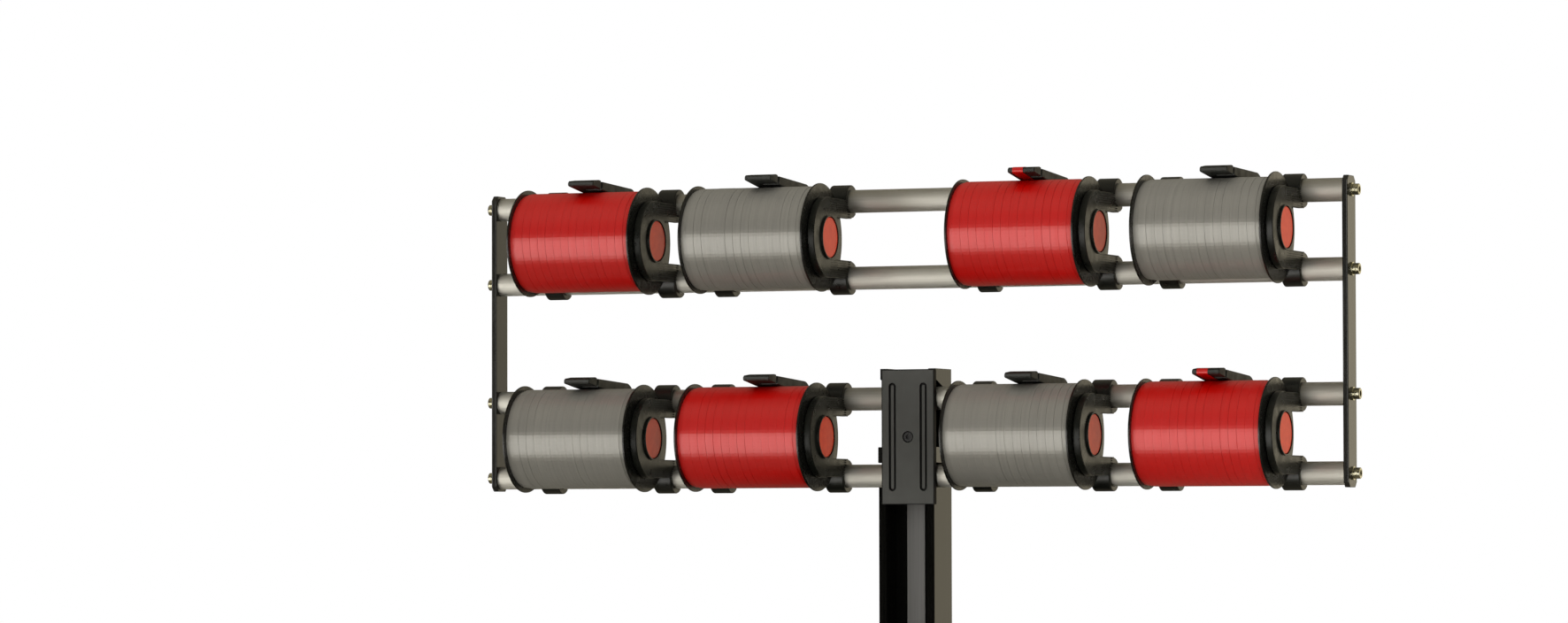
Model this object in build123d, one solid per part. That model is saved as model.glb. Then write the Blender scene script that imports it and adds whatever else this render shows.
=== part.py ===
# Counter rack of eight ribbon spools, each with its own hub button and swinging cutter.
# Lengths in mm. X runs along the tubes, Y away from the customer, Z up from the counter.
# The origin is on the counter, below the middle of the rack's outline.
import math
import os

from build123d import *

# Rack: two pairs of tubes between two end bars
tube_d = 21.0
tube_wall = 2.0
tube_length = 820.0
pair_spacing = 70.0
pair_gap = 110.0
rack_height = 340.0
tube_y = 30.0
bar_depth = 25.0
bar_thickness = 5.0
bar_end_margin = 12.5
bar_corner = 4.5
bar_edge = 0.8

# Screws at the tube ends
end_screw_d = 6.0
end_screw_length = 24.0
end_head_d = 10.0
end_head_height = 6.0
end_socket_across = 5.0
end_socket_depth = 3.0
washer_d = 12.0
washer_thickness = 1.4
plug_length = 26.0
screw_hole_clearance = 0.2
thread_clearance = 0.02
seat_clearance = 0.02

# Stations: on each side of the post, the shares of the free tube left of each holder
upper_free_shares = ((0.42, 0.325), (0.345, 0.34))
lower_free_shares = ((0.385, 0.325), (0.30, 0.37))

# Spools, and how full each one is
upper_fills = (45.7, 46.4, 46.8, 44.6)
lower_fills = (45.5, 46.0, 45.8, 46.4)
spool_width = 121.0
flange_radius = 49.05
flange_thickness = 1.8
flange_edge = 0.5
core_outer_radius = 28.0
core_bore_radius = 23.0
spool_setback = 56.0

# Ribbon: the outer layer winds as one tape over the plain wound bulk
tape_width = 7.2
tape_gap = 0.5
tape_thickness = 0.4
wound_gap = 0.1
bulk_gap = 0.3

# Spool holders: side plates with two clips each
journal_clearance = 0.1
plate_gap = 0.6
plate_thickness = 6.4
hub_radius = 36.7
hub_back = 22.0
hub_back_sag = 3.3
arm_inner_z = 19.3
arm_outer_z = 36.0
clip_radius = 15.0
clip_clearance = 0.1
clip_mouth_deg = 100.0
right_clip_length = 18.0
left_clip_length = 17.9
left_plate_thickness = 3.5
left_hub_radius = 30.0
rib_count = 8
rib_pitch = 2.0
rib_groove_width = 1.0
rib_groove_depth = 1.0
rib_start = 3.0
rib_end_margin = 5.0
edge_break = 0.8
plate_edge = 0.6
journal_depth = 24.0
journal_wall = 2.5
cup_floor = 2.5

# Hub button and its return spring
button_radius = 18.4
button_hole_clearance = 0.4
button_proud = 1.0
button_rim = 1.3
button_rim_thickness = 2.7
button_travel = 2.5
button_seat_gap = 0.3
button_stem_radius = 4.0
stem_clearance = 0.1
stem_past_floor = 1.0
spring_outer_radius = 7.0
spring_inner_radius = 5.0
collar_radius = 19.9
collar_height = 1.8
collar_edge = 0.3

# Cutters: an arm on the upper tube of the pair that rests on the ribbon
upper_cutter_starts = (52.9, 57.6, 53.0, 59.0)
lower_cutter_starts = (52.8, 59.8, 54.8, 52.7)
cutter_width = 25.4
cutter_ring_radius = 17.0
cutter_neck = 9.0
cutter_foot_height = 5.0
cutter_foot_start = 36.0
cutter_foot_end = 58.0
cutter_belly = 7.0
cutter_length = 87.0
cutter_tip_bottom = 5.8
cutter_tip_top = 10.6
cutter_tip_round = 1.5
cutter_crest = 73.0
cutter_crest_top = 13.3
cutter_shoulder_top = 12.7
cutter_rest_gap = 0.3
cutter_bore_clearance = 0.1
cutter_edge = 0.6
slot_start = 65.5
slot_width = 4.4
blade_thickness = 0.6
blade_bottom = 6.6
blade_proud = 0.3
blade_margin = 1.5
blade_edge = 1.6

# Post behind the lower pair, a little left of the clamp's screw
post_x = -2.0
post_width = 53.6
post_depth = 44.0
post_wall = 7.0
post_web_setback = 25.5
post_web_thickness = 7.0
post_top_rise = 27.0
lip_setback = 4.0
lip_height = 9.5
notch_clearance = 0.2
notch_slope = 6.0
window_margin = 3.0
window_half_inner = 13.0
strip_width = 17.0
strip_thickness = 2.0

# Clamp that holds the lower pair to the post
clamp_x = 1.6
clamp_width = 50.6
clamp_height = 122.0
clamp_thickness = 6.0
groove_offset = 15.0
groove_width = 7.0
groove_length = 98.0
groove_depth = 2.4
ridge_width = 2.8
ridge_drop = 0.5
spacer_width = 55.2
spacer_height = 14.4
spacer_drop = 16.2
spacer_stem_width = 20.0
spacer_stem_top = 10.0
spacer_clearance = 0.2
clamp_screw_d = 5.0
clamp_head_d = 8.5
clamp_head_height = 3.6
counterbore_d = 10.4
counterbore_depth = 4.2
clamp_socket_across = 4.0
clamp_socket_depth = 2.0
nut_across = 8.0
nut_thickness = 4.0
nut_past = 2.0

# Foot on the counter
foot_length = 360.0
foot_depth = 240.0
foot_thickness = 8.0
foot_corner = 14.0
foot_edge = 1.5
bolt_spacing_x = 310.0
bolt_spacing_y = 190.0
bolt_hole_d = 9.0
pad_d = 30.0
pad_thickness = 3.0
post_screw_d = 4.0
post_screw_head_d = 8.0
post_screw_length = 22.0
post_screw_inset = 9.0

# Worked-out places
tube_r = tube_d / 2
clip_bore_radius = tube_r + clip_clearance
pair_half = pair_spacing / 2
upper_pair_z = rack_height + pair_gap / 2 + pair_half
lower_pair_z = rack_height - pair_gap / 2 - pair_half
tube_heights = {
    "tube_upper_top": upper_pair_z + pair_half,
    "tube_upper_bottom": upper_pair_z - pair_half,
    "tube_lower_top": lower_pair_z + pair_half,
    "tube_lower_bottom": lower_pair_z - pair_half,
}
bar_height = pair_gap + 2 * pair_spacing + 2 * bar_end_margin
plate_x = spool_width + plate_gap
hub_face_x = plate_x + plate_thickness
right_clip_start = hub_face_x - right_clip_length
left_plate_start = -plate_gap - left_plate_thickness
left_clip_end = left_plate_start + left_clip_length
journal_radius = core_bore_radius - journal_clearance
cup_radius = journal_radius - journal_wall
button_hole_radius = button_radius + button_hole_clearance
post_front_y = tube_y - tube_r
post_back_y = post_front_y + post_depth
web_front_y = post_front_y + post_web_setback
web_back_y = web_front_y + post_web_thickness
notch_back_y = tube_y + tube_r + notch_clearance
notch_floor_z = lower_pair_z - pair_half - tube_r
notch_roof_z = lower_pair_z + pair_half + tube_r
post_top_z = lower_pair_z + pair_half + post_top_rise
foot_top_z = pad_thickness + foot_thickness
clamp_front_y = post_front_y - clamp_thickness
slot_end = slot_start + slot_width
tape_pitch = tape_width + tape_gap
tape_room = spool_width - 2 * flange_thickness - 2 * wound_gap
tape_turns = int((tape_room - tape_width) / tape_pitch)


def cylinder_x(radius, start, end, y, z):
    """Solid cylinder along X from start to end."""
    return Pos(start, y, z) * extrude(Plane.YZ * Circle(radius), end - start)


def cylinder_y(radius, start, end, x, z):
    """Solid cylinder along Y from start to end."""
    face = Plane(origin=(x, start, z), x_dir=(1, 0, 0), z_dir=(0, 1, 0)) * Circle(radius)
    return extrude(face, end - start)


def block(x0, x1, y0, y1, z0, z1):
    """Box between two corners."""
    centre = Pos((x0 + x1) / 2, (y0 + y1) / 2, (z0 + z1) / 2)
    return centre * Box(x1 - x0, y1 - y0, z1 - z0)


def prism_x(points, start, end):
    """Straight-sided outline of (y, z) points, extruded along X from start to end."""
    outline = make_face(Polyline(*points, close=True))
    return Pos(start, 0, 0) * extrude(Plane.YZ * outline, end - start)


def hexagon_x(across, start, end, y, z):
    """Hexagonal prism along X, its size across the flats."""
    face = Plane.YZ * RegularPolygon(across / 2, 6, major_radius=False)
    return Pos(start, y, z) * extrude(face, end - start)


# Frame of tubes and end bars
def tube(height):
    outer = cylinder_x(tube_r, -tube_length / 2, tube_length / 2, tube_y, height)
    bore = cylinder_x(tube_r - tube_wall, -tube_length / 2, tube_length / 2, tube_y, height)
    return outer - bore


def end_bar(side):
    inner = side * tube_length / 2
    outer = inner + side * bar_thickness
    z0 = rack_height - bar_height / 2
    z1 = rack_height + bar_height / 2
    y0 = tube_y - bar_depth / 2
    y1 = tube_y + bar_depth / 2
    bar = block(min(inner, outer), max(inner, outer), y0, y1, z0, z1)
    bar = chamfer(bar.edges().filter_by(Axis.X), bar_corner)
    rims = bar.edges().group_by(Axis.X)
    bar = fillet(rims[0] + rims[-1], bar_edge)
    for height in tube_heights.values():
        hole_r = (end_screw_d + screw_hole_clearance) / 2
        bar -= cylinder_x(hole_r, min(inner, outer), max(inner, outer), tube_y, height)
    return bar


def end_plug(side, height):
    """Threaded plug that fills a tube's end."""
    inner = side * (tube_length / 2 - plug_length)
    outer = side * tube_length / 2
    x0, x1 = sorted((inner, outer))
    plug = cylinder_x(tube_r - tube_wall - seat_clearance, x0, x1, tube_y, height)
    return plug - cylinder_x(end_screw_d / 2, x0, x1, tube_y, height)


def end_screw(side, height):
    """Socket-head screw with its washer, outside an end bar."""
    bar_face = tube_length / 2 + bar_thickness
    head_start = bar_face + washer_thickness
    head_end = head_start + end_head_height
    head = cylinder_x(end_head_d / 2, head_start, head_end, tube_y, height)
    head = chamfer(head.edges().group_by(Axis.X)[-1], edge_break / 2)
    head -= hexagon_x(end_socket_across, head_end - end_socket_depth, head_end, tube_y, height)
    shank_r = end_screw_d / 2 - thread_clearance
    shank = cylinder_x(shank_r, head_start - end_screw_length, head_start, tube_y, height)
    washer = cylinder_x(washer_d / 2, bar_face, head_start, tube_y, height)
    washer -= cylinder_x(end_screw_d / 2, bar_face, head_start, tube_y, height)
    pair = [head + shank, washer]
    if side < 0:
        pair = [mirror(piece, Plane.YZ) for piece in pair]
    return pair


# Post, clamp and foot
def post():
    """Channel open to the front, notched for the lower pair of tubes."""
    half = post_width / 2
    left_x, right_x = post_x - half, post_x + half
    lip_y = post_front_y + lip_setback
    lip_z = post_top_z - lip_height
    profile = (
        (post_front_y, foot_top_z),
        (post_front_y, notch_floor_z),
        (notch_back_y, notch_floor_z),
        (notch_back_y, lip_z - notch_slope),
        (lip_y, lip_z),
        (lip_y, post_top_z),
        (post_back_y, post_top_z),
        (post_back_y, foot_top_z),
    )
    left = prism_x(profile, left_x, left_x + post_wall)
    right = prism_x(profile, right_x - post_wall, right_x)
    web_half = half - post_wall
    web_x0, web_x1 = post_x - web_half, post_x + web_half
    web = block(web_x0, web_x1, web_front_y, web_back_y, foot_top_z, post_top_z)
    body = left + right + web
    window_z0 = notch_floor_z + tube_d + window_margin
    window_z1 = notch_roof_z - tube_d - window_margin
    for side in (-1, 1):
        x0, x1 = sorted((side * window_half_inner, side * web_half))
        body -= block(post_x + x0, post_x + x1, web_front_y, web_back_y, window_z0, window_z1)
    hole_r = clamp_screw_d / 2 + thread_clearance
    body -= cylinder_y(hole_r, web_front_y, web_back_y, clamp_x, lower_pair_z)
    for x, y in post_screw_places():
        top = foot_top_z + post_screw_length
        body -= Pos(x, y, (foot_top_z + top) / 2) * Cylinder(post_screw_d / 2, top - foot_top_z)
    return body


def post_screw_places():
    x = (post_width - post_wall) / 2
    front = post_front_y + post_screw_inset
    back = post_back_y - post_screw_inset
    return [(post_x + sx * x, y) for sx in (-1, 1) for y in (front, back)]


def post_strip():
    """Pale filler strip down the middle of the channel."""
    top = notch_floor_z - notch_clearance
    y0 = web_front_y - strip_thickness
    x0 = post_x - strip_width / 2
    return block(x0, x0 + strip_width, y0, web_front_y, foot_top_z, top)


def clamp_plate():
    """Front plate that presses the lower pair into the post's notch."""
    z0 = lower_pair_z - clamp_height / 2
    z1 = lower_pair_z + clamp_height / 2
    x0, x1 = clamp_x - clamp_width / 2, clamp_x + clamp_width / 2
    plate = block(x0, x1, clamp_front_y, post_front_y, z0, z1)
    plate = fillet(plate.edges().filter_by(Axis.Y), edge_break)
    front = Plane(
        origin=(clamp_x, clamp_front_y, lower_pair_z), x_dir=(1, 0, 0), z_dir=(0, -1, 0)
    )
    for side in (-1, 1):
        groove = SlotOverall(groove_length, groove_width, rotation=90)
        ridge = SlotOverall(groove_length - groove_width + ridge_width, ridge_width, rotation=90)
        place = front * Pos(side * groove_offset, 0)
        plate -= extrude(place * groove, -groove_depth)
        ridge_face = Pos(0, ridge_drop, 0) * (place * ridge)
        plate += extrude(ridge_face, -(groove_depth - ridge_drop))
    floor_y = clamp_front_y + counterbore_depth
    plate -= cylinder_y(counterbore_d / 2, clamp_front_y, floor_y, clamp_x, lower_pair_z)
    hole_r = (clamp_screw_d + screw_hole_clearance) / 2
    return plate - cylinder_y(hole_r, clamp_front_y, post_front_y, clamp_x, lower_pair_z)


def clamp_spacer():
    """Bar between the two tubes that keeps the plate square, its stem on the screw."""
    y0 = post_front_y + spacer_clearance
    z0 = lower_pair_z - spacer_drop - spacer_height / 2
    z1 = z0 + spacer_height
    half = spacer_width / 2
    bar = block(post_x - half, post_x + half, y0, notch_back_y - spacer_clearance, z0, z1)
    bar = fillet(bar.edges().filter_by(Axis.Y), edge_break)
    stem_half = spacer_stem_width / 2
    stem_back = web_front_y - spacer_clearance
    x0, x1 = clamp_x - stem_half, clamp_x + stem_half
    bar += block(x0, x1, y0, stem_back, z0, lower_pair_z + spacer_stem_top)
    hole_r = (clamp_screw_d + screw_hole_clearance) / 2
    return bar - cylinder_y(hole_r, y0, stem_back, clamp_x, lower_pair_z)


def clamp_screw():
    seat_y = clamp_front_y + counterbore_depth
    head_y = seat_y - clamp_head_height
    tip_y = web_back_y + nut_thickness + nut_past
    head = cylinder_y(clamp_head_d / 2, head_y, seat_y, clamp_x, lower_pair_z)
    face = Plane(origin=(clamp_x, head_y, lower_pair_z), x_dir=(1, 0, 0), z_dir=(0, 1, 0))
    socket = RegularPolygon(clamp_socket_across / 2, 6, major_radius=False)
    head -= extrude(face * socket, clamp_socket_depth)
    return head + cylinder_y(clamp_screw_d / 2, seat_y, tip_y, clamp_x, lower_pair_z)


def clamp_nut():
    face = Plane(origin=(clamp_x, web_back_y, lower_pair_z), x_dir=(1, 0, 0), z_dir=(0, 1, 0))
    nut = extrude(face * RegularPolygon(nut_across / 2, 6, major_radius=False), nut_thickness)
    hole_r = clamp_screw_d / 2 + thread_clearance
    nut_end = web_back_y + nut_thickness
    return nut - cylinder_y(hole_r, web_back_y, nut_end, clamp_x, lower_pair_z)


def bolt_places():
    return [
        (sx * bolt_spacing_x / 2, sy * bolt_spacing_y / 2) for sx in (-1, 1) for sy in (-1, 1)
    ]


def foot_plate():
    plate = block(
        -foot_length / 2, foot_length / 2, -foot_depth / 2, foot_depth / 2, pad_thickness, foot_top_z
    )
    plate = fillet(plate.edges().filter_by(Axis.Z), foot_corner)
    plate = fillet(plate.edges().group_by(Axis.Z)[-1], foot_edge)
    middle = (pad_thickness + foot_top_z) / 2
    for x, y in bolt_places():
        plate -= Pos(x, y, middle) * Cylinder(bolt_hole_d / 2, foot_thickness)
    cone = post_screw_cone()
    for x, y in post_screw_places():
        plate -= Pos(x, y, middle) * Cylinder(
            (post_screw_d + screw_hole_clearance) / 2, foot_thickness
        )
        plate -= Pos(x, y, pad_thickness) * cone
    return plate


def post_screw_cone():
    """Countersunk head, point up, with its flat on Z = 0."""
    height = (post_screw_head_d - post_screw_d) / 2
    cone = Cone(post_screw_head_d / 2, post_screw_d / 2, height)
    return Pos(0, 0, height / 2) * cone


def post_screw(x, y):
    """Countersunk screw driven up through the foot into the post's wall."""
    length = foot_thickness + post_screw_length
    shank_r = post_screw_d / 2 - thread_clearance
    shank = Pos(0, 0, length / 2) * Cylinder(shank_r, length)
    cone = scale(post_screw_cone(), 1 - thread_clearance)
    return Pos(x, y, pad_thickness) * (shank + cone)


def foot_pad(x, y):
    pad = Pos(x, y, pad_thickness / 2) * Cylinder(pad_d / 2, pad_thickness)
    return pad - Pos(x, y, pad_thickness / 2) * Cylinder(bolt_hole_d / 2, pad_thickness)


# One station: places are from the spool's left edge, the tubes' plane and the pair's middle
def spool():
    axis = (-spool_setback, 0)
    body = cylinder_x(core_outer_radius, 0, spool_width, *axis)
    for start in (0, spool_width - flange_thickness):
        flange = cylinder_x(flange_radius, start, start + flange_thickness, *axis)
        body += fillet(flange.edges(), flange_edge)
    return body - cylinder_x(core_bore_radius, 0, spool_width, *axis)


def tape_path(radius):
    """One turn of a helix as four tangent arcs, each about a quarter turn."""

    def point(angle):
        along = tape_pitch * angle / math.tau
        return Vector(along, radius * math.cos(angle), radius * math.sin(angle))

    def heading(angle):
        return Vector(
            tape_pitch / math.tau, -radius * math.sin(angle), radius * math.cos(angle)
        ).normalized()

    arcs = []
    for half in range(2):
        start, end = half * math.pi, (half + 1) * math.pi
        p0, p1, t0, t1 = point(start), point(end), heading(start), heading(end)
        chord = p1 - p0
        bend = 2 * (1 - t0.dot(t1))
        along = chord.dot(t0 + t1)
        reach = (math.sqrt(along * along + bend * chord.dot(chord)) - along) / bend
        joint = (p0 + t0 * reach + p1 - t1 * reach) * 0.5
        step = (joint - p0).normalized()
        middle = step * (2 * step.dot(t0)) - t0
        arcs += [TangentArc(p0, joint, tangent=t0), TangentArc(joint, p1, tangent=middle)]
    return Wire([edge for arc in arcs for edge in arc.edges()]), heading(0)


def tape(fill):
    """Outer layer of ribbon: one unbroken flat tape, wound edge beside edge."""
    radius = fill - tape_thickness / 2
    path, heading = tape_path(radius)
    section = Plane(origin=(0, radius, 0), x_dir=(1, 0, 0), z_dir=heading)
    axis = Edge.make_line((0, 0, 0), (tape_pitch, 0, 0))
    turn = sweep(section * Rectangle(tape_width, tape_thickness), path=path, binormal=axis)
    turns = [Pos(tape_pitch * i, 0, 0) * turn for i in range(tape_turns)]
    wound = turns[0].fuse(*turns[1:])
    print_gap(path, fill)
    start = (spool_width - tape_pitch * tape_turns) / 2
    return Pos(start, -spool_setback, 0) * wound


def print_gap(path, fill):
    """Least gap between one turn of the tape and the next, on points along its edges."""
    lead = Vector(1, 0, 0) * (tape_width / 2)
    here = [path.position_at(i / 48) + lead for i in range(49)]
    beside = [path.position_at(i / 48) - lead + Vector(tape_pitch, 0, 0) for i in range(49)]
    least = min((a - b).length for a in here for b in beside)
    print("tape gap at fill", fill, round(least, 3))


def wound_bulk(fill):
    """Everything under the outer layer, as one plain ring between the flanges."""
    x0 = flange_thickness + wound_gap
    x1 = spool_width - flange_thickness - wound_gap
    outer = fill - tape_thickness - bulk_gap
    ring = cylinder_x(outer, x0, x1, -spool_setback, 0)
    return ring - cylinder_x(core_outer_radius + wound_gap, x0, x1, -spool_setback, 0)


def clip(start, end, side):
    """Snap clip round one tube, its mouth to the back."""
    z = side * pair_half
    ring = cylinder_x(clip_radius, start, end, 0, z)
    ring = fillet(ring.edges(), edge_break)
    reach = clip_radius * 2
    rise = reach * math.tan(math.radians(clip_mouth_deg / 2))
    mouth = prism_x(((0, z), (reach, z + rise), (reach, z - rise)), start, end)
    return ring - mouth


def side_plate(radius, start, end):
    """Round hub with two arms back to the tubes, cut away between the arms."""
    axis = -spool_setback
    plate = cylinder_x(radius, start, end, axis, 0)
    for side in (-1, 1):
        z0, z1 = sorted((side * arm_inner_z, side * arm_outer_z))
        plate += block(start, end, axis, 0, z0, z1)
    back = axis + hub_back
    edge = ThreePointArc(
        (back - hub_back_sag, -arm_inner_z), (back, 0), (back - hub_back_sag, arm_inner_z)
    )
    sides = Polyline(
        (back - hub_back_sag, arm_inner_z), (0, arm_inner_z), (0, -arm_inner_z),
        (back - hub_back_sag, -arm_inner_z),
    )
    gap = Pos(start, 0, 0) * extrude(Plane.YZ * make_face([edge, sides]), end - start)
    plate -= gap
    rims = plate.edges().group_by(Axis.X)
    return chamfer(rims[0] + rims[-1], plate_edge)


def right_holder():
    """Holder on the button's side: the ribbed plate, two clips and the journal cup."""
    axis = -spool_setback
    holder = side_plate(hub_radius, plate_x, hub_face_x)
    for side in (-1, 1):
        holder += clip(right_clip_start, hub_face_x, side)
    cup_end = plate_x - journal_depth
    holder += cylinder_x(journal_radius, cup_end, plate_x, axis, 0)
    holder -= cylinder_x(cup_radius, cup_end + cup_floor, plate_x, axis, 0)
    collar_end = hub_face_x + collar_height
    collar = cylinder_x(collar_radius, plate_x, collar_end, axis, 0)
    holder += chamfer(collar.edges().group_by(Axis.X)[-1], collar_edge)
    holder -= cylinder_x(button_hole_radius, plate_x, collar_end, axis, 0)
    stem_r = button_stem_radius + stem_clearance
    holder -= cylinder_x(stem_r, cup_end, cup_end + cup_floor, axis, 0)
    for side in (-1, 1):
        holder -= cylinder_x(clip_bore_radius, right_clip_start, hub_face_x, 0, side * pair_half)
        holder -= rib_grooves(side)
    return holder


def rib_grooves(side):
    """Fine grooves along one arm, which leave the ribs between them."""
    middle = side * (arm_inner_z + arm_outer_z) / 2
    y0 = -spool_setback + rib_start
    x0 = hub_face_x - rib_groove_depth
    grooves = []
    for i in range(rib_count):
        z = middle + (i - (rib_count - 1) / 2) * rib_pitch
        z0, z1 = z - rib_groove_width / 2, z + rib_groove_width / 2
        grooves.append(block(x0, hub_face_x, y0, -rib_end_margin, z0, z1))
    return Part() + grooves


def left_holder():
    """Plain holder on the far side: plate, two long clips and a journal open inward."""
    axis = -spool_setback
    journal_end = -plate_gap + journal_depth
    holder = side_plate(left_hub_radius, left_plate_start, -plate_gap)
    holder += cylinder_x(journal_radius, -plate_gap, journal_end, axis, 0)
    for side in (-1, 1):
        z = side * pair_half
        holder += clip(left_plate_start, left_clip_end, side)
        holder -= cylinder_x(clip_bore_radius, left_plate_start, left_clip_end, 0, z)
    return holder - cylinder_x(cup_radius, cup_floor - plate_gap, journal_end, axis, 0)


def button():
    """Red hub button: cap, rim that the plate keeps in, and guide stem."""
    axis = -spool_setback
    rim_end = plate_x - button_seat_gap
    rim_start = rim_end - button_rim_thickness
    cap = cylinder_x(button_radius, rim_start, hub_face_x + button_proud, axis, 0)
    cap = fillet(cap.edges().group_by(Axis.X)[-1], edge_break)
    rim = cylinder_x(button_radius + button_rim, rim_start, rim_end, axis, 0)
    stem_end = plate_x - journal_depth - stem_past_floor
    return cap + rim + cylinder_x(button_stem_radius, stem_end, rim_start, axis, 0)


def button_spring():
    """Return spring as a plain sleeve of its pressed length, on the cup's floor."""
    axis = -spool_setback
    start = plate_x - journal_depth + cup_floor
    end = plate_x - 2 * button_seat_gap - button_rim_thickness - button_travel
    sleeve = cylinder_x(spring_outer_radius, start, end, axis, 0)
    return sleeve - cylinder_x(spring_inner_radius, start, end, axis, 0)


# Cutter: drawn level with its bore on the tube, Y forward negative, then tilted onto the ribbon
def cutter_tilt(fill):
    """Angle in degrees that rests the foot on a spool filled to this radius."""
    reach = math.hypot(spool_setback, pair_half)
    lift = math.asin((fill + cutter_rest_gap - cutter_foot_height) / reach)
    return math.degrees(lift - math.atan2(pair_half, spool_setback))


def cutter_arm():
    """Beaked lever, its left side at X = 0, with the slot that holds the blade."""
    outline = (
        (0, -cutter_neck),
        (0, cutter_ring_radius),
        (-slot_start, cutter_shoulder_top),
        (-slot_end, cutter_crest_top),
        (-cutter_crest, cutter_crest_top),
        (-cutter_length + cutter_tip_round, cutter_tip_top),
        (-cutter_length, cutter_tip_top - cutter_tip_round),
        (-cutter_length, cutter_tip_bottom + 1.0),
        (-cutter_length + 1.0, cutter_tip_bottom),
        (-cutter_foot_end, cutter_foot_height),
        (-cutter_foot_start, cutter_foot_height),
        (-cutter_foot_start + 2.0, cutter_belly),
        (-clip_radius, cutter_belly - 1.0),
    )
    arm = prism_x(outline, 0, cutter_width)
    arm += cylinder_x(cutter_ring_radius, 0, cutter_width, 0, 0)
    rims = arm.edges().group_by(Axis.X)
    arm = chamfer(rims[0] + rims[-1], cutter_edge)
    reach = cutter_ring_radius * 2
    arm -= block(cutter_neck, cutter_width, -slot_end, -slot_start, 0, reach)
    blade_x0, blade_x1 = cutter_neck + blade_margin, cutter_width - blade_margin
    arm -= block(blade_x0, blade_x1, -slot_end - blade_thickness, -slot_end, blade_bottom, reach)
    arm -= cylinder_x(tube_r + cutter_bore_clearance, 0, cutter_width, 0, 0)
    rise = reach * math.tan(math.radians(clip_mouth_deg / 2))
    return arm - prism_x(((0, 0), (reach, rise), (reach, -rise)), 0, cutter_width)


def cutter_blade():
    """Thin blade on the slot's front wall, its sharp edge just above the beak."""
    top = cutter_crest_top + blade_proud
    back = -slot_end
    front = -slot_end - blade_thickness
    outline = (
        (back, blade_bottom),
        (back, top - blade_edge),
        (front, top),
        (front, blade_bottom),
    )
    return prism_x(outline, cutter_neck + blade_margin, cutter_width - blade_margin)


def on_tube(piece, start, fill):
    """Slides a cutter piece along the tube and tilts it until it rests on the ribbon."""
    return Pos(start, 0, pair_half) * Rot(-cutter_tilt(fill), 0, 0) * piece


# Write every sub-part
os.makedirs("parts", exist_ok=True)


def write(name, *solids):
    shape = solids[0] if len(solids) == 1 else Compound(children=list(solids))
    export_step(shape, "parts/" + name + ".step")


write("end_bar_left", end_bar(-1))
write("end_bar_right", end_bar(1))
ends = [(side, height) for side in (-1, 1) for height in tube_heights.values()]
write("tube_end_plugs", *[end_plug(*place) for place in ends])
write("end_screws", *[piece for place in ends for piece in end_screw(*place)])
for name, height in tube_heights.items():
    write(name, tube(height))
write("post", post())
write("post_strip", post_strip())
write("clamp_plate", clamp_plate())
write("clamp_spacer", clamp_spacer())
write("clamp_screw", clamp_screw())
write("clamp_nut", clamp_nut())
write("foot_plate", foot_plate())
write("foot_pads", *[foot_pad(*place) for place in bolt_places()])
write("post_screws", *[post_screw(*place) for place in post_screw_places()])


def spool_lefts(free_shares):
    """Left edges of a row's four spools, two on each side of the post."""
    holder_width = hub_face_x - left_plate_start
    lefts = []
    for side, (before, between) in zip((-1, 1), free_shares):
        start = -tube_length / 2 if side < 0 else post_x + post_width / 2
        free = tube_length / 2 - side * post_x - post_width / 2 - 2 * holder_width
        first = start + before * free - left_plate_start
        lefts += [first, first + holder_width + between * free]
    return lefts


stations = []
for row, free_shares, fills, cutter_starts, height in (
    ("upper", upper_free_shares, upper_fills, upper_cutter_starts, upper_pair_z),
    ("lower", lower_free_shares, lower_fills, lower_cutter_starts, lower_pair_z),
):
    lefts = spool_lefts(free_shares)
    for number, (left, fill, start) in enumerate(zip(lefts, fills, cutter_starts), 1):
        place = Pos(left, tube_y, height)
        stations.append((row + "_" + str(number), place, fill, start))
        print(row, number, "spool's left edge", round(left, 2))

plain_spool = spool()
plain_button = button()
plain_arm = cutter_arm()
plain_blade = cutter_blade()
tapes = {fill: tape(fill) for fill in sorted({station[2] for station in stations})}
for name, place, fill, start in stations:
    write("spool_" + name, place * plain_spool)
    write("ribbon_" + name, place * wound_bulk(fill), place * tapes[fill])
    write("button_" + name, place * plain_button)
    write("cutter_arm_" + name, place * on_tube(plain_arm, start, fill))
    write("cutter_blade_" + name, place * on_tube(plain_blade, start, fill))

for name, piece in (
    ("right_holders", right_holder()),
    ("left_holders", left_holder()),
    ("button_springs", button_spring()),
):
    write(name, *[place * piece for _, place, *_ in stations])
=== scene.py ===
# Shop-counter ribbon rack, dressed for a studio picture. Metres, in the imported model's frame:
# X along the tubes, Y away from the customer, Z up from the counter.
import math

import bpy
import numpy as np
from mathutils import Matrix, Vector


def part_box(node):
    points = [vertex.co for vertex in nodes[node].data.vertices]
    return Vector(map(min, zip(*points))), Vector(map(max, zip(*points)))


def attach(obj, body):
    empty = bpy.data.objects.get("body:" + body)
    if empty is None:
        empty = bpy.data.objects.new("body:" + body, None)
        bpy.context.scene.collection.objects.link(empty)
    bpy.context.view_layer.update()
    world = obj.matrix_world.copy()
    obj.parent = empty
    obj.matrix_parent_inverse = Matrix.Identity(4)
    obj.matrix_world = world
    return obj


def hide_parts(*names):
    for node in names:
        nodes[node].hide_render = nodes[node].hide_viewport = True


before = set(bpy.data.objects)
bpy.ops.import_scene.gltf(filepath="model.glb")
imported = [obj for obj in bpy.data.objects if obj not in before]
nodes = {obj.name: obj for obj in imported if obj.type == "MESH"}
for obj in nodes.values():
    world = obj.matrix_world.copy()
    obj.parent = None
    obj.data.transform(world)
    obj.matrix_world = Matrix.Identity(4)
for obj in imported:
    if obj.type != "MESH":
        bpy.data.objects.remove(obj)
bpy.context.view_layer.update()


# Picture and room
# The camera stands low in front and to the right, level with the lower row, with a long lens. All
# round is white. The lamps light the colours, and gloss and metal show the room: a white wall
# behind, a dark room in front, and the bright counter, which lies as one band along every roll.
picture_width = 1772
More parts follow.
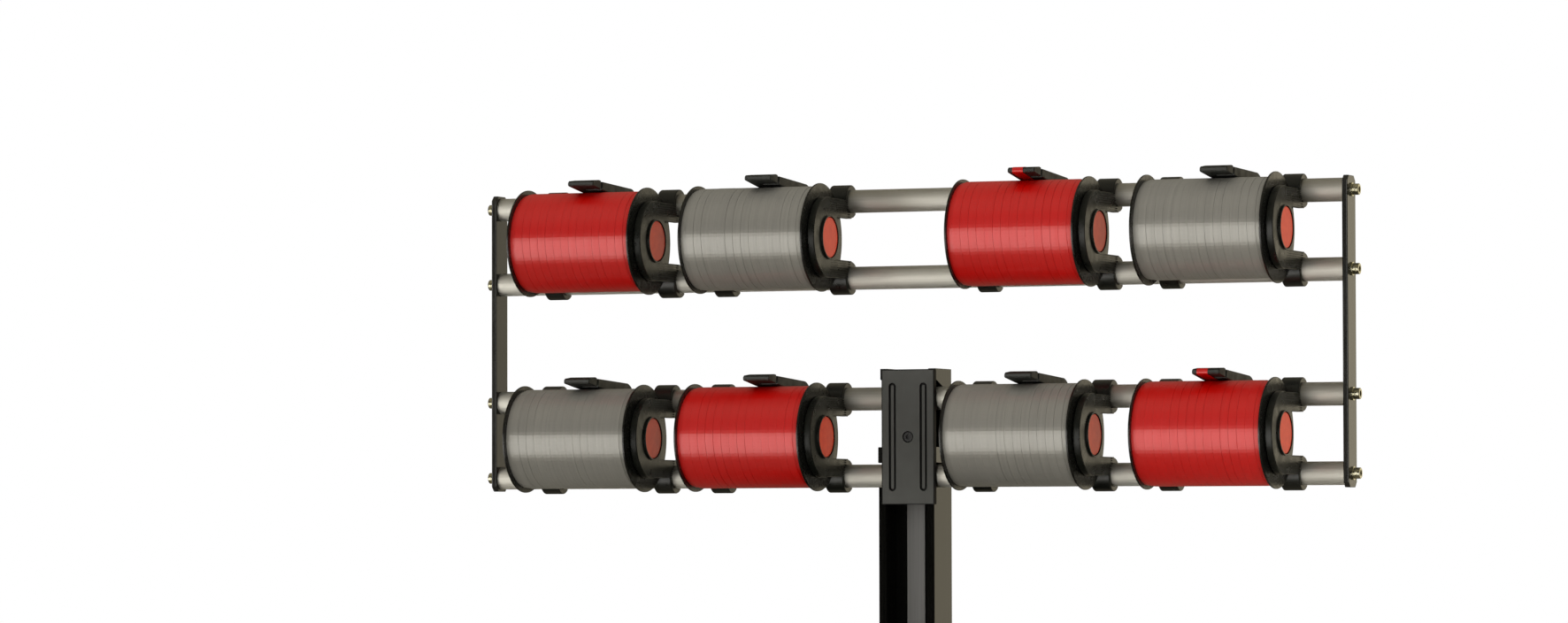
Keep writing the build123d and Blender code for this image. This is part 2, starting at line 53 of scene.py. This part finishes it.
sensor_width = 36.0
focal_pixels = 6850.451
camera_place = Vector((1.980357, -5.093684, 0.162565))
camera_yaw = math.radians(22.3454)
camera_pitch = math.radians(2.1021)
camera_roll = math.radians(-0.1258)


def camera_turn(yaw, pitch, roll):
    """Camera axes as a matrix: looks along +Y turned left by yaw, up by pitch, then rolled."""
    ahead = Vector((-math.sin(yaw) * math.cos(pitch), math.cos(yaw) * math.cos(pitch), math.sin(pitch)))
    right = Vector((math.cos(yaw), math.sin(yaw), 0.0))
    up = right.cross(ahead)
    rolled_right = right * math.cos(roll) + up * math.sin(roll)
    rolled_up = up * math.cos(roll) - right * math.sin(roll)
    return Matrix((rolled_right, rolled_up, -ahead)).transposed()


camera = bpy.data.objects.new("camera", bpy.data.cameras.new("camera"))
camera.data.sensor_width = sensor_width
camera.data.lens = focal_pixels / picture_width * sensor_width
camera.data.clip_end = 50.0
camera.matrix_world = (
    Matrix.Translation(camera_place) @ camera_turn(camera_yaw, camera_pitch, camera_roll).to_4x4()
)
bpy.context.scene.collection.objects.link(camera)
bpy.context.scene.camera = camera
bpy.context.scene.view_settings.view_transform = "Standard"


def linear(hex_colour):
    """An sRGB hex colour as the linear colour that shaders take."""
    parts = np.array([int(hex_colour[i:i + 2], 16) / 255 for i in (0, 2, 4)])
    curve = np.where(parts <= 0.04045, parts / 12.92, ((parts + 0.055) / 1.055) ** 2.4)
    return (*(float(part) for part in curve), 1.0)


def add_node(tree, kind, settings=None, inputs=None):
    """Adds one shader node: settings are its properties, inputs are values or sockets to link."""
    node = tree.nodes.new(kind)
    for name, value in (settings or {}).items():
        setattr(node, name, value)
    for key, value in (inputs or {}).items():
        if isinstance(value, bpy.types.NodeSocket):
            tree.links.new(value, node.inputs[key])
        else:
            node.inputs[key].default_value = value
    return node


wall_level = 1.0
side_wall_level = 0.08
dark_level = 0.03
ceiling_level = 0.25
under_level = 0.14
band_level = 6.4
plain_level = 0.8
flat_face_way = -0.35
bright_wall_way = 0.27


def white_room():
    """World: white to the camera and plain light on surfaces. Gloss sees a pale wall behind, a dark
    front, a dim ceiling, and the far counter as a bright band in front, with a gap in it where flat
    faces look. Each ramp is (value, from, to, at from, at to), on the direction's axes."""
    world = bpy.data.worlds.new("white_room")
    bpy.context.scene.world = world
    world.use_nodes = True
    tree = world.node_tree
    tree.nodes.clear()
    way = add_node(tree, "ShaderNodeTexCoord").outputs["Generated"]
    axes = add_node(tree, "ShaderNodeSeparateXYZ", None, {"Vector": way}).outputs
    beside = []
    for middle in (flat_face_way, bright_wall_way):
        offset = add_node(tree, "ShaderNodeMath", {"operation": "SUBTRACT"}, {0: axes["X"], 1: middle})
        distance = {0: offset.outputs[0]}
        beside.append(add_node(tree, "ShaderNodeMath", {"operation": "ABSOLUTE"}, distance).outputs[0])
    height = add_node(tree, "ShaderNodeMath", {"operation": "ABSOLUTE"}, {0: axes["Z"]}).outputs[0]
    ramps = {
        "wall": (beside[1], 0.04, 0.3, wall_level, side_wall_level),
        "behind": (axes["Y"], 0.1, 0.7, 0.0, 1.0),
        "overhead": (height, 0.3, 0.75, 0.0, 1.0),
        "above": (axes["Z"], -0.3, 0.3, under_level, ceiling_level),
        "far edge": (axes["Z"], 0.09, 0.17, 1.0, 0.0),
        "near edge": (axes["Z"], -0.6, -0.52, 0.0, 1.0),
        "in front": (axes["Y"], -0.45, -0.15, 1.0, 0.0),
        "to the left": (axes["X"], 0.0, 0.2, 1.0, 0.0),
        "beside gap": (beside[0], 0.1, 0.17, 0.0, 1.0),
    }
    level = {}
    for name, (value, start, end, first, last) in ramps.items():
        ranged = add_node(
            tree, "ShaderNodeMapRange", {"interpolation_type": "SMOOTHSTEP"},
            {"Value": value, "From Min": start, "From Max": end, "To Min": first, "To Max": last},
        )
        level[name] = ranged.outputs["Result"]
    for name, first, second in (
        ("place", "in front", "to the left"),
        ("open place", "place", "beside gap"),
        ("edges", "near edge", "far edge"),
        ("band", "open place", "edges"),
    ):
        joined = {0: level[first], 1: level[second]}
        level[name] = add_node(tree, "ShaderNodeMath", {"operation": "MULTIPLY"}, joined).outputs[0]
    for name, share, first, second in (
        ("horizon", "behind", dark_level, "wall"),
        ("room", "overhead", "horizon", "above"),
        ("all", "band", "room", band_level),
    ):
        mixed = {0: level[share], 2: level.get(first, first), 3: level.get(second, second)}
        level[name] = add_node(tree, "ShaderNodeMix", {"data_type": "FLOAT"}, mixed).outputs[0]
    colour = add_node(
        tree, "ShaderNodeMix", {"data_type": "RGBA"},
        {0: level["band"], 6: linear("FFF3D4"), 7: linear("FFFDF9")},
    ).outputs[2]
    gloss = add_node(tree, "ShaderNodeBackground", None, {"Color": colour, "Strength": level["all"]})
    plain = add_node(
        tree, "ShaderNodeBackground", None, {"Color": linear("FFFDF8"), "Strength": plain_level}
    )
    white = add_node(tree, "ShaderNodeBackground", None, {"Color": linear("FFFFFF"), "Strength": 1.0})
    ray = add_node(tree, "ShaderNodeLightPath").outputs
    lit = add_node(
        tree, "ShaderNodeMixShader", None,
        {0: ray["Is Glossy Ray"], 1: plain.outputs[0], 2: gloss.outputs[0]},
    )
    seen = add_node(
        tree, "ShaderNodeMixShader", None,
        {0: ray["Is Camera Ray"], 1: lit.outputs[0], 2: white.outputs[0]},
    )
    add_node(tree, "ShaderNodeOutputWorld", None, {"Surface": seen.outputs[0]})


def lamp(name, place, target, size_x, size_y, power, colour):
    """Soft rectangular lamp at place that faces target. It lights colours and isn't seen in gloss."""
    data = bpy.data.lights.new(name, "AREA")
    data.shape = "RECTANGLE"
    data.size = size_x
    data.size_y = size_y
    data.energy = power
    data.color = linear(colour)[:3]
    obj = bpy.data.objects.new(name, data)
    turn = (Vector(target) - Vector(place)).to_track_quat("-Z", "Y").to_matrix().to_4x4()
    obj.matrix_world = Matrix.Translation(place) @ turn
    obj.visible_camera = False
    obj.visible_glossy = False
    bpy.context.scene.collection.objects.link(obj)


white_room()
lamp("front_lamp", (0.9, -2.6, 1.1), (0.0, 0.0, 0.3), 1.8, 1.2, 17.0, "FFF9F2")
lamp("top_lamp", (-0.6, -1.0, 2.4), (0.0, 0.0, 0.3), 1.6, 1.6, 9.0, "FFF4E6")
lamp("low_lamp", (1.0, -1.2, 0.15), (0.2, 0.0, 0.35), 0.9, 0.25, 4.0, "FFFAF4")
lamp("back_lamp", (0.8, 2.2, 1.8), (0.0, 0.0, 0.3), 1.8, 1.2, 8.0, "FFFFFF")

def loop_quads(rows, columns):
    """Quads between neighbouring rows of a grid whose rows are closed loops."""
    index = np.arange(rows * columns).reshape(rows, columns)
    after = np.roll(index, -1, axis=1)
    return np.stack([index[:-1], index[1:], after[1:], after[:-1]], axis=-1).reshape(-1, 4)


counter_radius = 3.2
fade_start = 0.5
fade_end = 1.9


def counter():
    """Round counter top, point (r, a) at (r cos a, r sin a): pale where the rack stands, and fading
    to the white surroundings. Gloss sees the room's bright band in its place."""
    rings = 24
    spokes = 96
    radius = np.linspace(0.0, counter_radius, rings)[:, None]
    angle = np.linspace(0.0, math.tau, spokes, endpoint=False)[None, :]
    points = np.stack(
        [radius * np.cos(angle), radius * np.sin(angle), np.zeros((rings, spokes))], axis=-1
    ).reshape(-1, 3)
    mesh = bpy.data.meshes.new("counter")
    mesh.from_pydata(points.tolist(), [], loop_quads(rings, spokes).tolist())
    obj = bpy.data.objects.new("counter", mesh)
    bpy.context.scene.collection.objects.link(obj)
    obj.visible_glossy = False
    material = bpy.data.materials.new("pale_laminate")
    material.use_nodes = True
    tree = material.node_tree
    surface = tree.nodes["Principled BSDF"]
    surface.inputs["Base Color"].default_value = linear("F2F1EE")
    surface.inputs["Roughness"].default_value = 0.6
    place = add_node(tree, "ShaderNodeTexCoord").outputs["Object"]
    reach = add_node(tree, "ShaderNodeVectorMath", {"operation": "LENGTH"}, {0: place})
    faded = add_node(
        tree, "ShaderNodeMapRange", {"interpolation_type": "SMOOTHSTEP"},
        {"Value": reach.outputs["Value"], "From Min": fade_start, "From Max": fade_end},
    )
    ray = add_node(tree, "ShaderNodeLightPath").outputs
    share = add_node(
        tree, "ShaderNodeMath", {"operation": "MULTIPLY"},
        {0: faded.outputs["Result"], 1: ray["Is Camera Ray"]},
    )
    white = add_node(tree, "ShaderNodeEmission", None, {"Color": linear("FFFFFF"), "Strength": 1.0})
    seen = add_node(
        tree, "ShaderNodeMixShader", None,
        {0: share.outputs[0], 1: surface.outputs[0], 2: white.outputs[0]},
    )
    tree.links.new(seen.outputs[0], tree.nodes["Material Output"].inputs["Surface"])
    mesh.materials.append(material)


counter()


# Foot, post and end bars
# Flat and extruded aluminium, black on all faces. The foot is a plain plate on four rubber pads,
# screwed up into the post. The end bars close the ends of the four tubes.


def new_material(name, base, roughness, metallic=0.0, ior=1.5):
    """A principled material with its fixed values on the shader's own sockets."""
    material = bpy.data.materials.new(name)
    material.use_nodes = True
    surface = material.node_tree.nodes["Principled BSDF"]
    surface.inputs["Base Color"].default_value = linear(base)
    surface.inputs["Roughness"].default_value = roughness
    surface.inputs["Metallic"].default_value = metallic
    surface.inputs["IOR"].default_value = ior
    return material, material.node_tree, surface


def object_place(tree, scale=(1.0, 1.0, 1.0)):
    """Object coordinates, stretched along an axis for a pattern with a grain."""
    place = add_node(tree, "ShaderNodeTexCoord").outputs["Object"]
    return add_node(tree, "ShaderNodeMapping", None, {"Vector": place, "Scale": scale}).outputs[0]


noise_low = 0.3
noise_high = 0.7


def patches(tree, place, size_mm, detail, fineness, low, high):
    """Noise with patches of the given size, its usual range spread from low to high."""
    noise = add_node(
        tree, "ShaderNodeTexNoise", None,
        {"Vector": place, "Scale": 1000.0 / size_mm, "Detail": detail, "Roughness": fineness},
    )
    ranged = add_node(
        tree, "ShaderNodeMapRange", None,
        {
            "Value": noise.outputs[0], "From Min": noise_low, "From Max": noise_high,
            "To Min": low, "To Max": high,
        },
    )
    return ranged.outputs["Result"]


def patchy(tree, socket, place, size_mm, low, high):
    """A shader socket drifts between two values in patches of the given size."""
    tree.links.new(patches(tree, place, size_mm, 2.0, 0.55, low, high), socket)


def two_tone(tree, surface, place, size_mm, first, second, detail=3.0):
    """Base colour drifts between two near colours in patches of the given size."""
    share = patches(tree, place, size_mm, detail, 0.6, 0.0, 1.0)
    mixed = add_node(
        tree, "ShaderNodeMix", {"data_type": "RGBA"},
        {0: share, 6: linear(first), 7: linear(second)},
    )
    tree.links.new(mixed.outputs[2], surface.inputs["Base Color"])


def grained(tree, surface, place, size_mm, depth_mm, detail=1.0):
    """Raised grain on the surface: the size of its bumps and their depth, in millimetres."""
    height = add_node(
        tree, "ShaderNodeTexNoise", None,
        {"Vector": place, "Scale": 1000.0 / size_mm, "Detail": detail},
    )
    bump = add_node(
        tree, "ShaderNodeBump", None, {"Height": height.outputs[0], "Distance": depth_mm / 1000.0}
    )
    tree.links.new(bump.outputs[0], surface.inputs["Normal"])


def black_powder_coat():
    """Smooth powder coat on the end bars: near black, with faint orange peel 1.2 mm across."""
    material, tree, surface = new_material("black_powder_coat", "141413", 0.13)
    place = object_place(tree)
    two_tone(tree, surface, place, 60.0, "131312", "191917")
    patchy(tree, surface.inputs["Roughness"], place, 25.0, 0.11, 0.15)
    grained(tree, surface, place, 1.2, 0.01)
    return material


def black_anodised():
    """Black anodised aluminium of the post and foot: deep black in front, olive at a flat angle."""
    material, tree, surface = new_material("black_anodised_aluminium", "060606", 0.2)
    lengthwise = object_place(tree, (1.0, 1.0, 0.03))
    surface.inputs["Specular IOR Level"].default_value = 0.25
    two_tone(tree, surface, lengthwise, 3.0, "050505", "080807")
    patchy(tree, surface.inputs["Roughness"], lengthwise, 2.0, 0.08, 0.13)
    return material


def rubber():
    """Moulded black rubber: dull, with a fine grain."""
    material, tree, surface = new_material("moulded_rubber", "161615", 0.8)
    place = object_place(tree)
    two_tone(tree, surface, place, 4.0, "131312", "1C1C1B")
    grained(tree, surface, place, 0.4, 0.03)
    return material


def grey_filler():
    """Extruded grey plastic strip: matt, with faint lines along its length."""
    material, tree, surface = new_material("grey_filler_strip", "5A5A59", 0.55)
    lengthwise = object_place(tree, (1.0, 1.0, 0.02))
    two_tone(tree, surface, lengthwise, 1.5, "565655", "5D5D5C")
    grained(tree, surface, lengthwise, 0.6, 0.01)
    return material


def dress(material, *names):
    """Puts one material on CAD nodes whose shape is right as it is."""
    for name in names:
        node = nodes[name]
        node.data.materials.clear()
        node.data.materials.append(material)


black_coat = black_powder_coat()
dress(black_coat, "end_bar_left", "end_bar_right")
dress(black_anodised(), "post", "foot_plate")
dress(rubber(), "foot_pads")
dress(grey_filler(), "post_strip", "tube_end_plugs")


# Clamp
# A cast aluminium plate with a fine dark grey texture coat presses the lower pair of tubes into
# the post's notch. A spacer bar keeps it square. One socket-head screw and a nut pull it tight.

# Painted shade on the clamp plate: black deeper than the first value under its front face, and in a rim
# as wide as the second along its edges.
painted_shade_depth = 0.0009
painted_shade_rim = 0.0008
coat_patches_per_metre = 70.0


def texture_coat(low, high):
    """Fine-texture dark grey coat on the front face: matt, with a 0.5 mm grain, in faint patches
    14 mm across. Shade is painted black on what lies deeper than the coat, in the grooves and
    counterbore, and on a narrow rim round the plate, which spans low to high."""
    material, tree, surface = new_material("dark_texture_coat", "434442", 0.62)
    surface.inputs["Specular IOR Level"].default_value = 0.15
    place = object_place(tree)
    grained(tree, surface, place, 0.5, 0.03, 2.0)
    noise = add_node(
        tree, "ShaderNodeTexNoise", None,
        {"Vector": place, "Scale": coat_patches_per_metre, "Detail": 3.0},
    )
    coat = add_node(
        tree, "ShaderNodeMix", {"data_type": "RGBA"},
        {0: noise.outputs[0], 6: linear("3F403E"), 7: linear("484947")},
    )
    axes = add_node(tree, "ShaderNodeSeparateXYZ", None, {"Vector": place}).outputs
    # Painted shade: black in the grooves and counterbore deeper than the coat, and along the plate's
    # edges.
    painted_shade = 0.0
    for axis, limit, operation in (
        (0, low.x + painted_shade_rim, "LESS_THAN"),
        (0, high.x - painted_shade_rim, "GREATER_THAN"),
        (1, low.y + painted_shade_depth, "GREATER_THAN"),
        (2, low.z + painted_shade_rim, "LESS_THAN"),
        (2, high.z - painted_shade_rim, "GREATER_THAN"),
    ):
        side = add_node(tree, "ShaderNodeMath", {"operation": operation}, {0: axes[axis], 1: limit})
        either = {0: side.outputs[0], 1: painted_shade}
        painted_shade = add_node(tree, "ShaderNodeMath", {"operation": "MAXIMUM"}, either).outputs[0]
    mixed = add_node(
        tree, "ShaderNodeMix", {"data_type": "RGBA"},
        {0: painted_shade, 6: coat.outputs[2], 7: linear("040404")},
    )
    tree.links.new(mixed.outputs[2], surface.inputs["Base Color"])
    return material


def black_oxide():
    """Blackened screw steel: dark, with a dull metal shine."""
    material, tree, surface = new_material("black_oxide_steel", "2A2A2A", 0.35, 1.0)
    patchy(tree, surface.inputs["Roughness"], object_place(tree), 1.5, 0.3, 0.45)
    return material


def zinc_plate():
    """Bright zinc plating with a faint yellow tint on the screws: a dark or white mirror."""
    material, tree, surface = new_material("yellow_zinc_plate", "CDC9AE", 0.2, 1.0)
    place = object_place(tree)
    two_tone(tree, surface, place, 2.0, "C6C1A0", "D6D3C0")
    patchy(tree, surface.inputs["Roughness"], place, 1.5, 0.15, 0.3)
    return material


dress(texture_coat(*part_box("clamp_plate")), "clamp_plate")
dress(black_coat, "clamp_spacer")
dress(black_oxide(), "clamp_screw")
dress(zinc_plate(), "clamp_nut", "post_screws", "end_screws")


# Tubes
# Four drawn aluminium tubes, satin anodised. Drawing leaves fine lines along the tube, so light
# spreads round it in one soft band.


def spread_gloss(tree, surface, share, turn):
    """Gloss stretched round the X axis, or along it with a quarter turn, as fine lines do."""
    around = add_node(tree, "ShaderNodeTangent", {"direction_type": "RADIAL", "axis": "X"})
    tree.links.new(around.outputs[0], surface.inputs["Tangent"])
    surface.inputs["Anisotropic"].default_value = share
    surface.inputs["Anisotropic Rotation"].default_value = turn


def satin_anodised():
    """Satin anodised aluminium: pale grey, with draw lines 0.4 mm apart along the tube."""
    material, tree, surface = new_material("satin_anodised_aluminium", "BAB8AF", 0.5, 1.0)
    lengthwise = object_place(tree, (0.015, 1.0, 1.0))
    two_tone(tree, surface, lengthwise, 1.6, "B4B2AA", "C0BEB7")
    patchy(tree, surface.inputs["Roughness"], lengthwise, 1.0, 0.46, 0.54)
    spread_gloss(tree, surface, 0.74, 0.0)
    return material


dress(satin_anodised(), "tube_upper_top", "tube_upper_bottom", "tube_lower_top", "tube_lower_bottom")


# Holders
# Two injection-moulded holders carry each spool, in glossy black ABS. They snap onto the tubes
# with open clips. The right one has fine ribs along its arms, for the fingers, and a raised
# collar round the button, whose return spring sits in the cup behind.


def glossy_abs(name, first, second, roughness):
    """Moulded black ABS: glossy, with slow flow marks and a trace of handling."""
    material, tree, surface = new_material(name, first, roughness)
    place = object_place(tree)
    two_tone(tree, surface, place, 18.0, first, second)
    patchy(tree, surface.inputs["Roughness"], place, 9.0, roughness - 0.05, roughness + 0.08)
    grained(tree, surface, place, 2.5, 0.012)
    return material


def spring_wire():
    """Bright drawn spring steel."""
    material, tree, surface = new_material("spring_steel", "9A9A98", 0.3, 1.0)
    patchy(tree, surface.inputs["Roughness"], object_place(tree), 1.0, 0.22, 0.38)
    return material


dress(glossy_abs("black_holder_abs", "0B0D0B", "121410", 0.3), "right_holders", "left_holders")
dress(spring_wire(), "button_springs")


# Spools
# Moulded black polystyrene: a core with two thin flanges, glossy, the edges rounded. Spool N of a
# row is station row_N, counted from the left.

stations = [row + "_" + str(number) for row in ("upper", "lower") for number in (1, 2, 3, 4)]
spool_plastic = glossy_abs("black_spool_styrene", "0A0A09", "10110E", 0.24)
dress(spool_plastic, *["spool_" + station for station in stations])


# Hub buttons
# Moulded red plastic caps, slightly frosted. Each stands a millimetre proud of its holder's face,
# inside the raised collar, and sinks 2.5 mm when it is pressed.


def red_cap():
    """Red moulded plastic with a fine frosted face."""
    material, tree, surface = new_material("frosted_red_plastic", "D03C1E", 0.4)
    place = object_place(tree)
    two_tone(tree, surface, place, 6.0, "C8341A", "D64224")
    grained(tree, surface, place, 0.5, 0.01)
    return material


dress(red_cap(), *["button_" + station for station in stations])


# Cutters
# Moulded black arms that hang on the upper tube of each pair and rest on the ribbon, with a thin
# steel blade across the slot in the beak.


def ground_steel():
    """Ground blade steel: bright, with grinding lines across the edge."""
    material, tree, surface = new_material("ground_blade_steel", "C4C6C8", 0.25, 1.0)
    across = object_place(tree, (1.0, 0.1, 0.1))
    patchy(tree, surface.inputs["Roughness"], across, 0.3, 0.18, 0.34)
    grained(tree, surface, across, 0.2, 0.004)
    return material


cutter_abs = glossy_abs("black_cutter_abs", "10120F", "171915", 0.5)
dress(cutter_abs, *["cutter_arm_" + station for station in stations])
dress(ground_steel(), *["cutter_blade_" + station for station in stations])


# Ribbons
# Pearly polypropylene gift ribbon, wound on each spool edge beside edge. Its fine lengthwise lines
# spread the light sideways, so each roll shows one bright band along its length.

ribbon_pitch = 0.0077
ribbon_turns = 14
ribbon_thickness = 0.0003
ribbon_core = 0.0284
crown_width = 0.009
crown_drop = 0.0007
closed_gap_low = 0.00002
closed_gap_high = 0.00008
open_gap = 0.00045
open_gap_share = 0.22
most_lean = 0.00002
knots_per_turn = 3
under_clearance = 0.00012
under_steps = 60
roll_spokes = 96
red_stations = ("upper_1", "upper_3", "lower_2", "lower_4")


def roll_radius(x, low, high, fill):
    """Radius of a roll at x: its fill, less a drop that grows as the cube towards each end."""
    edge = np.minimum(x - low, high - x)
    return fill - crown_drop * np.clip(1.0 - edge / crown_width, 0.0, 1.0) ** 3


def wound_tape(low, high, axis_y, axis_z, fill, seed):
    """Outer layer: point (a, s) lies at angle a round the axis, at x = pitch * a / turn + s * width.
    Most turns touch, and a few leave a gap that opens and closes again. Gap and lean are drawn at
    knots along the tape, and run straight from one knot to the next."""
    rng = np.random.default_rng(seed)
    knots = ribbon_turns * knots_per_turn + 1
    across = np.array([-1.0, -0.94, -0.5, 0.0, 0.5, 0.94, 1.0])
    edge_drop = np.array([0.00006, 0.00001, 0.0, 0.0, 0.0, 0.00001, 0.00006])
    turn = np.linspace(0.0, ribbon_turns, roll_spokes * ribbon_turns + 1)
    gaps = rng.uniform(closed_gap_low, closed_gap_high, knots)
    gaps = gaps + open_gap * (rng.random(knots) < open_gap_share)
    leans = rng.uniform(-most_lean, most_lean, knots)
    gap = np.interp(turn * knots_per_turn, np.arange(knots), gaps)
    lean = np.interp(turn * knots_per_turn, np.arange(knots), leans)
    middle = (low + high) / 2 + ribbon_pitch * (turn - ribbon_turns / 2)
    x = middle[:, None] + across[None, :] * (ribbon_pitch - gap)[:, None] / 2
    radius = roll_radius(x, low, high, fill) - edge_drop + lean[:, None] * across
    angle = math.tau * turn[:, None]
    return np.stack([x, axis_y + radius * np.cos(angle), axis_z + radius * np.sin(angle)], axis=-1)


def closed_tape(name, outer, inward):
    """Mesh of a tape: its outer face, the same face moved inward, and both edges and ends."""
    ring = np.concatenate([outer, (outer + inward)[:, ::-1]], axis=1)
    rows, columns = ring.shape[:2]
    last = (rows - 1) * columns
    caps = [list(range(columns))[::-1], list(range(last, last + columns))]
    mesh = bpy.data.meshes.new(name)
    mesh.from_pydata(ring.reshape(-1, 3).tolist(), [], loop_quads(rows, columns).tolist() + caps)
    return mesh


def under_layer(name, low, high, axis_y, axis_z, fill):
    """Roll under the tape: a closed ring whose profile (x, radius) follows the roll's crown."""
    x = np.linspace(low, high, under_steps)
    outline_x = np.concatenate([[low], x, [high]])
    outline_r = roll_radius(x, low, high, fill) - ribbon_thickness - under_clearance
    outline_r = np.concatenate([[ribbon_core], outline_r, [ribbon_core]])
    angle = np.linspace(0.0, math.tau, roll_spokes, endpoint=False)[:, None]
    points = np.stack(
        [
            np.broadcast_to(outline_x, (roll_spokes, outline_x.size)),
            axis_y + outline_r * np.cos(angle),
            axis_z + outline_r * np.sin(angle),
        ],
        axis=-1,
    )
    wrapped = np.concatenate([points, points[:1]], axis=0)
    quads = loop_quads(*wrapped.shape[:2])[:, ::-1] % (roll_spokes * outline_x.size)
    mesh = bpy.data.meshes.new(name)
    mesh.from_pydata(points.reshape(-1, 3).tolist(), [], quads.tolist())
    return mesh


def ribbon_plastic(name, first, second, metal):
    """Pearly polypropylene: a satin sheen and fine lines along the ribbon, 0.25 mm apart. Streaks
    2.5 mm wide stand for bunches of lines, because single ones are too fine to show."""
    material, tree, surface = new_material(name, first, 0.38, metal, 1.6)
    lengthwise = object_place(tree, (1.0, 0.004, 0.004))
    two_tone(tree, surface, lengthwise, 2.5, first, second, 4.0)
    patchy(tree, surface.inputs["Roughness"], lengthwise, 1.2, 0.34, 0.42)
    grained(tree, surface, lengthwise, 0.25, 0.004)
    spread_gloss(tree, surface, 0.95, 0.25)
    return material


def add_piece(mesh, material, body):
    """Links one new piece with its material and the body that it rides on."""
    piece = bpy.data.objects.new(mesh.name, mesh)
    bpy.context.scene.collection.objects.link(piece)
    mesh.materials.append(material)
    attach(piece, body)
    return piece


ribbons = {
    "red_ribbon": ribbon_plastic("red_polypropylene_ribbon", "AC0502", "A60401", 0.0),
    "grey_ribbon": ribbon_plastic("grey_polypropylene_ribbon", "7D7C76", "75746F", 0.2),
}

for seed, station in enumerate(stations, 1):
    low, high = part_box("ribbon_" + station)
    fill = (high.z - low.z) / 2
    axis_y = (low.y + high.y) / 2
    axis_z = (low.z + high.z) / 2
    outer = wound_tape(low.x, high.x, axis_y, axis_z, fill, seed)
    middle = np.array([0.0, axis_y, axis_z])
    inward = (middle - outer) * np.array([0.0, 1.0, 1.0])
    inward *= ribbon_thickness / np.linalg.norm(inward, axis=-1, keepdims=True)
    roll_mesh = closed_tape("ribbon_roll_" + station, outer, inward)
    under_mesh = under_layer("ribbon_under_" + station, low.x, high.x, axis_y, axis_z, fill)
    slot_name = "red_ribbon" if station in red_stations else "grey_ribbon"
    for mesh in (roll_mesh, under_mesh):
        piece = add_piece(mesh, ribbons[slot_name], "spool_" + station)
        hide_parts("ribbon_" + station)


# Loose ends
# At two stations the ribbon's end is drawn forward under the cutter's foot and round the beak's
# tip. It is one flat strip that lies on the beak and moves with it. A level arm's foot is
# foot_height over the tube's middle, and a resting one is foot_gap off the roll.

strip_width = 0.010
strip_inset = 0.0045
strip_thickness = 0.0002
strip_steps = 70
foot_gap = 0.0003
foot_height = 0.005
beak_outline = (
    (-0.0790, 0.0123), (-0.0858, 0.0109), (-0.0873, 0.0094), (-0.0873, 0.0066),
    (-0.0861, 0.0055), (-0.0584, 0.0046), (-0.0560, 0.0046),
)


def loose_strip(name, left, tube_y, tube_z, tilt):
    """Strip along the outline of a level beak, its corners rounded by averaging neighbours twice,
    then tilted about the tube: the point (y, z) goes to (y cos t + z sin t, z cos t - y sin t)."""
    outline = np.array(beak_outline)
    pieces = np.linalg.norm(np.diff(outline, axis=0), axis=1)
    length = np.concatenate([[0.0], np.cumsum(pieces)])
    along = np.linspace(0.0, length[-1], strip_steps)
    path = np.stack([np.interp(along, length, outline[:, axis]) for axis in (0, 1)], axis=1)
    for _ in range(2):
        path[1:-1] = (path[:-2] + 2.0 * path[1:-1] + path[2:]) / 4.0
    turn = np.array([[math.cos(tilt), -math.sin(tilt)], [math.sin(tilt), math.cos(tilt)]])
    path = path @ turn + (tube_y, tube_z)
    tangent = np.gradient(path, axis=0)
    normal = np.stack([tangent[:, 1], -tangent[:, 0]], axis=1)
    normal *= strip_thickness / np.linalg.norm(normal, axis=1, keepdims=True)
    outer = np.zeros((strip_steps, 2, 3))
    outer[:, :, 0] = left + np.array([0.0, strip_width])
    outer[:, :, 1:] = path[:, None, :]
    inward = np.zeros((strip_steps, 1, 3))
    inward[:, 0, 1:] = -normal
    return closed_tape(name, outer, inward)


for station in ("upper_3", "lower_4"):
    tube_low, tube_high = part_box("tube_" + station[:5] + "_top")
    tube_y = (tube_low.y + tube_high.y) / 2
    tube_z = (tube_low.z + tube_high.z) / 2
    low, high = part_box("ribbon_" + station)
    setback = tube_y - (low.y + high.y) / 2
    rise = tube_z - (low.z + high.z) / 2
    rest = (high.z - low.z) / 2 + foot_gap - foot_height
    tilt = math.asin(rest / math.hypot(setback, rise)) - math.atan2(rise, setback)
    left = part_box("cutter_arm_" + station)[0].x + strip_inset
    mesh = loose_strip("ribbon_end_" + station, left, tube_y, tube_z, tilt)
    add_piece(mesh, ribbons["red_ribbon"], "cutter_" + station)
